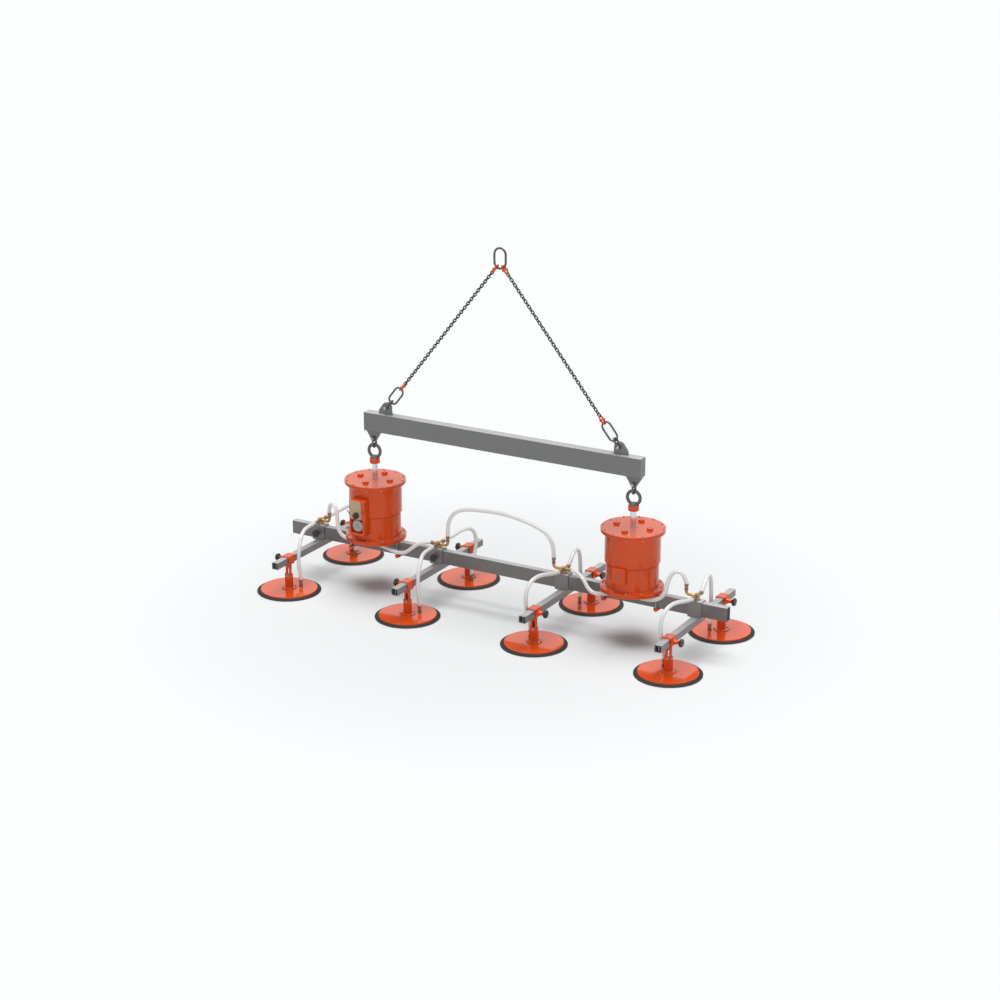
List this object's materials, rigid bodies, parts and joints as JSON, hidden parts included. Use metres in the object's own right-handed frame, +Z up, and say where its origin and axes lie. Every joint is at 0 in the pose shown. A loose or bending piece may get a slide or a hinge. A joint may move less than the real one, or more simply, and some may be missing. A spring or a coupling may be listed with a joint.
{
  "type": "vacuum lifter",
  "caption": "Crane-hung vacuum lifter: chain sling and spreader beam over piston cylinders on a main beam with sliding cross arms and round suction pads.",
  "frame": {"origin": "the seat of the crane hook, inside the top of the master link", "axes": "+Z up, +X along the main beam to the right as the operator sees it, -Y towards the operator's side with the controls"},
  "size_m": [2.729, 1.0132, 2.0321],
  "materials": {
    "grey_paint": "grey gloss enamel",
    "orange_paint": "orange gloss enamel",
    "chain_steel": "dark heat-treated steel",
    "chrome": "hard chrome",
    "black_plastic": "black moulded plastic",
    "black_rubber": "black rubber",
    "gauge_white": "white dial in a light case",
    "clear_hose": "clear braided hose"
  },
  "bodies": {
    "hook_point": {"master_link": "grey_paint"},
    "sling": {"left_chain_leg": "chain_steel", "right_chain_leg": "chain_steel"},
    "spreader": {"spreader_beam": "grey_paint", "left_upper_shackle": "chain_steel", "right_upper_shackle": "chain_steel"},
    "left_hanger": {"left_lower_shackle": "chain_steel"},
    "right_hanger": {"right_lower_shackle": "chain_steel"},
    "left_rod": {"left_piston_rod": "chrome", "left_lifting_eye": "grey_paint"},
    "right_rod": {"right_piston_rod": "chrome", "right_lifting_eye": "grey_paint"},
    "frame": {"main_beam": "grey_paint", "left_cylinder": "orange_paint", "right_cylinder": "orange_paint", "left_cylinder_lid": "orange_paint", "right_cylinder_lid": "orange_paint", "control_box": "orange_paint", "vacuum_gauge": "gauge_white", "vacuum_line": "clear_hose"},
    "needle": {"gauge_needle": "black_plastic"},
    "selector": {"selector_knob": "black_plastic"},
    "lever": {"release_lever": "black_plastic"},
    "arm_slide_1": {"arm_1": "grey_paint"},
    "arm_slide_2": {"arm_2": "grey_paint"},
    "arm_slide_3": {"arm_3": "grey_paint"},
    "arm_slide_4": {"arm_4": "grey_paint"},
    "clamp_slide_near_1": {"clamp_near_1": "orange_paint"},
    "knob_near_1": {"clamp_knob_near_1": "black_plastic"},
    "pad_float_near_1": {"pad_near_1": "orange_paint", "seal_near_1": "black_rubber"},
    "clamp_slide_far_1": {"clamp_far_1": "orange_paint"},
    "knob_far_1": {"clamp_knob_far_1": "black_plastic"},
    "pad_float_far_1": {"pad_far_1": "orange_paint", "seal_far_1": "black_rubber"},
    "clamp_slide_near_2": {"clamp_near_2": "orange_paint"},
    "knob_near_2": {"clamp_knob_near_2": "black_plastic"},
    "pad_float_near_2": {"pad_near_2": "orange_paint", "seal_near_2": "black_rubber"},
    "clamp_slide_far_2": {"clamp_far_2": "orange_paint"},
    "knob_far_2": {"clamp_knob_far_2": "black_plastic"},
    "pad_float_far_2": {"pad_far_2": "orange_paint", "seal_far_2": "black_rubber"},
    "clamp_slide_near_3": {"clamp_near_3": "orange_paint"},
    "knob_near_3": {"clamp_knob_near_3": "black_plastic"},
    "pad_float_near_3": {"pad_near_3": "orange_paint", "seal_near_3": "black_rubber"},
    "clamp_slide_far_3": {"clamp_far_3": "orange_paint"},
    "knob_far_3": {"clamp_knob_far_3": "black_plastic"},
    "pad_float_far_3": {"pad_far_3": "orange_paint", "seal_far_3": "black_rubber"},
    "clamp_slide_near_4": {"clamp_near_4": "orange_paint"},
    "knob_near_4": {"clamp_knob_near_4": "black_plastic"},
    "pad_float_near_4": {"pad_near_4": "orange_paint", "seal_near_4": "black_rubber"},
    "clamp_slide_far_4": {"clamp_far_4": "orange_paint"},
    "knob_far_4": {"clamp_knob_far_4": "black_plastic"},
    "pad_float_far_4": {"pad_far_4": "orange_paint", "seal_far_4": "black_rubber"}
  },
  "joints": [
    {"name": "sling_swing", "type": "hinge", "parent": "hook_point", "child": "sling", "pos_m": [0, 0, -0.069], "axis": [0, 1, 0], "range_deg": [-15, 15]},
    {"name": "spreader_swing", "type": "hinge", "parent": "sling", "child": "spreader", "pos_m": [0, 0, -0.9368], "axis": [1, 0, 0], "range_deg": [-10, 10]},
    {"name": "left_hanger_swing", "type": "hinge", "parent": "spreader", "child": "left_hanger", "pos_m": [-0.805, 0, -1.1539], "axis": [0, 1, 0], "range_deg": [-15, 15]},
    {"name": "right_hanger_swing", "type": "hinge", "parent": "spreader", "child": "right_hanger", "pos_m": [0.805, 0, -1.1539], "axis": [0, 1, 0], "range_deg": [-15, 15]},
    {"name": "left_rod_swing", "type": "hinge", "parent": "left_hanger", "child": "left_rod", "pos_m": [-0.805, 0, -1.2059], "axis": [0, 1, 0], "range_deg": [-15, 15]},
    {"name": "right_rod_swing", "type": "hinge", "parent": "right_hanger", "child": "right_rod", "pos_m": [0.805, 0, -1.2059], "axis": [0, 1, 0], "range_deg": [-15, 15]},
    {"name": "piston_stroke", "type": "slide", "parent": "left_rod", "child": "frame", "axis": [0, 0, 1], "range_m": [0, 0.08]},
    {"name": "needle_turn", "type": "hinge", "parent": "frame", "child": "needle", "pos_m": [-0.805, -0.1833, -1.6136], "axis": [0, -1, 0], "range_deg": [0, 270], "stiffness_Nm_per_rad": 0.0005},
    {"name": "selector_turn", "type": "hinge", "parent": "frame", "child": "selector", "pos_m": [-0.805, -0.195, -1.5496], "axis": [0, -1, 0], "range_deg": [0, 90]},
    {"name": "lever_turn", "type": "hinge", "parent": "frame", "child": "lever", "pos_m": [-0.854, -0.179, -1.5536], "axis": [1, 0, 0], "range_deg": [0, 50]},
    {"name": "arm_1_slide", "type": "slide", "parent": "frame", "child": "arm_slide_1", "axis": [1, 0, 0], "range_m": [-0.1, 0.12], "deforming": ["vacuum_line"]},
    {"name": "arm_2_slide", "type": "slide", "parent": "frame", "child": "arm_slide_2", "axis": [1, 0, 0], "range_m": [-0.15, 0.15], "deforming": ["vacuum_line"]},
    {"name": "arm_3_slide", "type": "slide", "parent": "frame", "child": "arm_slide_3", "axis": [1, 0, 0], "range_m": [-0.15, 0.15], "deforming": ["vacuum_line"]},
    {"name": "arm_4_slide", "type": "slide", "parent": "frame", "child": "arm_slide_4", "axis": [1, 0, 0], "range_m": [-0.12, 0.1], "deforming": ["vacuum_line"]},
    {"name": "clamp_near_1_slide", "type": "slide", "parent": "arm_slide_1", "child": "clamp_slide_near_1", "axis": [0, -1, 0], "range_m": [-0.14, 0.07], "deforming": ["vacuum_line"]},
    {"name": "clamp_knob_near_1_turn", "type": "hinge", "parent": "clamp_slide_near_1", "child": "knob_near_1", "pos_m": [-1.183, -0.3266, -1.8384], "axis": [-1, 0, 0], "continuous": true},
    {"name": "pad_near_1_float", "type": "slide", "parent": "clamp_slide_near_1", "child": "pad_float_near_1", "axis": [0, 0, 1], "range_m": [0, 0.04], "deforming": ["vacuum_line"]},
    {"name": "clamp_far_1_slide", "type": "slide", "parent": "arm_slide_1", "child": "clamp_slide_far_1", "axis": [0, 1, 0], "range_m": [-0.14, 0.07], "deforming": ["vacuum_line"]},
    {"name": "clamp_knob_far_1_turn", "type": "hinge", "parent": "clamp_slide_far_1", "child": "knob_far_1", "pos_m": [-1.183, 0.3266, -1.8384], "axis": [-1, 0, 0], "continuous": true},
    {"name": "pad_far_1_float", "type": "slide", "parent": "clamp_slide_far_1", "child": "pad_float_far_1", "axis": [0, 0, 1], "range_m": [0, 0.04], "deforming": ["vacuum_line"]},
    {"name": "clamp_near_2_slide", "type": "slide", "parent": "arm_slide_2", "child": "clamp_slide_near_2", "axis": [0, -1, 0], "range_m": [-0.14, 0.07], "deforming": ["vacuum_line"]},
    {"name": "clamp_knob_near_2_turn", "type": "hinge", "parent": "clamp_slide_near_2", "child": "knob_near_2", "pos_m": [-0.395, -0.3266, -1.8384], "axis": [-1, 0, 0], "continuous": true},
    {"name": "pad_near_2_float", "type": "slide", "parent": "clamp_slide_near_2", "child": "pad_float_near_2", "axis": [0, 0, 1], "range_m": [0, 0.04], "deforming": ["vacuum_line"]},
    {"name": "clamp_far_2_slide", "type": "slide", "parent": "arm_slide_2", "child": "clamp_slide_far_2", "axis": [0, 1, 0], "range_m": [-0.14, 0.07], "deforming": ["vacuum_line"]},
    {"name": "clamp_knob_far_2_turn", "type": "hinge", "parent": "clamp_slide_far_2", "child": "knob_far_2", "pos_m": [-0.395, 0.3266, -1.8384], "axis": [-1, 0, 0], "continuous": true},
    {"name": "pad_far_2_float", "type": "slide", "parent": "clamp_slide_far_2", "child": "pad_float_far_2", "axis": [0, 0, 1], "range_m": [0, 0.04], "deforming": ["vacuum_line"]},
    {"name": "clamp_near_3_slide", "type": "slide", "parent": "arm_slide_3", "child": "clamp_slide_near_3", "axis": [0, -1, 0], "range_m": [-0.14, 0.07], "deforming": ["vacuum_line"]},
    {"name": "clamp_knob_near_3_turn", "type": "hinge", "parent": "clamp_slide_near_3", "child": "knob_near_3", "pos_m": [0.395, -0.3266, -1.8384], "axis": [1, 0, 0], "continuous": true},
    {"name": "pad_near_3_float", "type": "slide", "parent": "clamp_slide_near_3", "child": "pad_float_near_3", "axis": [0, 0, 1], "range_m": [0, 0.04], "deforming": ["vacuum_line"]},
    {"name": "clamp_far_3_slide", "type": "slide", "parent": "arm_slide_3", "child": "clamp_slide_far_3", "axis": [0, 1, 0], "range_m": [-0.14, 0.07], "deforming": ["vacuum_line"]},
    {"name": "clamp_knob_far_3_turn", "type": "hinge", "parent": "clamp_slide_far_3", "child": "knob_far_3", "pos_m": [0.395, 0.3266, -1.8384], "axis": [1, 0, 0], "continuous": true},
    {"name": "pad_far_3_float", "type": "slide", "parent": "clamp_slide_far_3", "child": "pad_float_far_3", "axis": [0, 0, 1], "range_m": [0, 0.04], "deforming": ["vacuum_line"]},
    {"name": "clamp_near_4_slide", "type": "slide", "parent": "arm_slide_4", "child": "clamp_slide_near_4", "axis": [0, -1, 0], "range_m": [-0.14, 0.07], "deforming": ["vacuum_line"]},
    {"name": "clamp_knob_near_4_turn", "type": "hinge", "parent": "clamp_slide_near_4", "child": "knob_near_4", "pos_m": [1.183, -0.3266, -1.8384], "axis": [1, 0, 0], "continuous": true},
    {"name": "pad_near_4_float", "type": "slide", "parent": "clamp_slide_near_4", "child": "pad_float_near_4", "axis": [0, 0, 1], "range_m": [0, 0.04], "deforming": ["vacuum_line"]},
    {"name": "clamp_far_4_slide", "type": "slide", "parent": "arm_slide_4", "child": "clamp_slide_far_4", "axis": [0, 1, 0], "range_m": [-0.14, 0.07], "deforming": ["vacuum_line"]},
    {"name": "clamp_knob_far_4_turn", "type": "hinge", "parent": "clamp_slide_far_4", "child": "knob_far_4", "pos_m": [1.183, 0.3266, -1.8384], "axis": [1, 0, 0], "continuous": true},
    {"name": "pad_far_4_float", "type": "slide", "parent": "clamp_slide_far_4", "child": "pad_float_far_4", "axis": [0, 0, 1], "range_m": [0, 0.04], "deforming": ["vacuum_line"]}
  ],
  "couplings": [
    {"joint": "right_hanger_swing", "follows": "left_hanger_swing", "ratio": 1},
    {"joint": "left_rod_swing", "follows": "left_hanger_swing", "ratio": -1},
    {"joint": "right_rod_swing", "follows": "left_hanger_swing", "ratio": -1}
  ]
}
